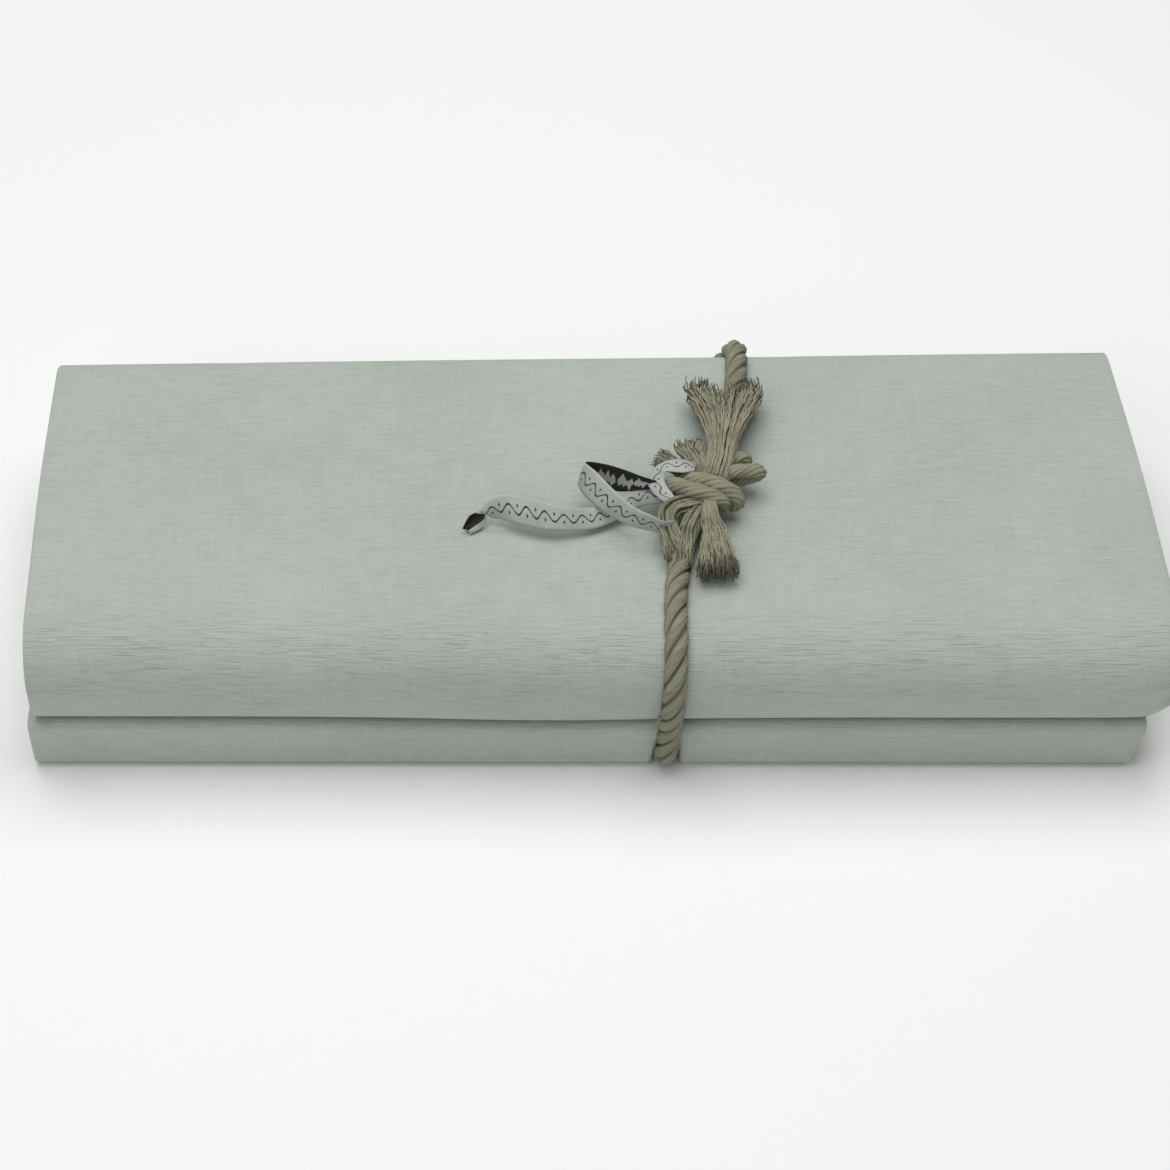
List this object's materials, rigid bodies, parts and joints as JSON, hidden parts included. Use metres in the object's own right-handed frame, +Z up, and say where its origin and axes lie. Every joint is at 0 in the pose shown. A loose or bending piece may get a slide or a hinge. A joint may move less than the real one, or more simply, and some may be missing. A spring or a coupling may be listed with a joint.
{
  "type": "folded tablecloth",
  "caption": "Linen tablecloth folded into a long flat packet, tied round the middle with a twisted rope knotted on top, its ends frayed, with a narrow ribbon drawn into the knot.",
  "frame": {"origin": "middle of the footprint, on the surface that the packet rests on", "axes": "+X along the folds, towards the right in the picture; +Y towards the back; +Z up"},
  "size_m": [0.4286, 0.1956, 0.0877],
  "materials": {
    "linen": "matte plain-weave linen, pale grey-green white",
    "rope": "matte three-strand natural cotton rope",
    "frayed_yarn": "matte loose natural yarns",
    "ribbon": "satin ribbon, white on its face and black on its back"
  },
  "bodies": {
    "root": {"tablecloth": "linen", "rope_tie": "rope", "upper_frayed_end": "frayed_yarn", "lower_frayed_end": "frayed_yarn", "back_tuft": "frayed_yarn", "left_tuft": "frayed_yarn", "ribbon": "ribbon"}
  },
  "joints": []
}
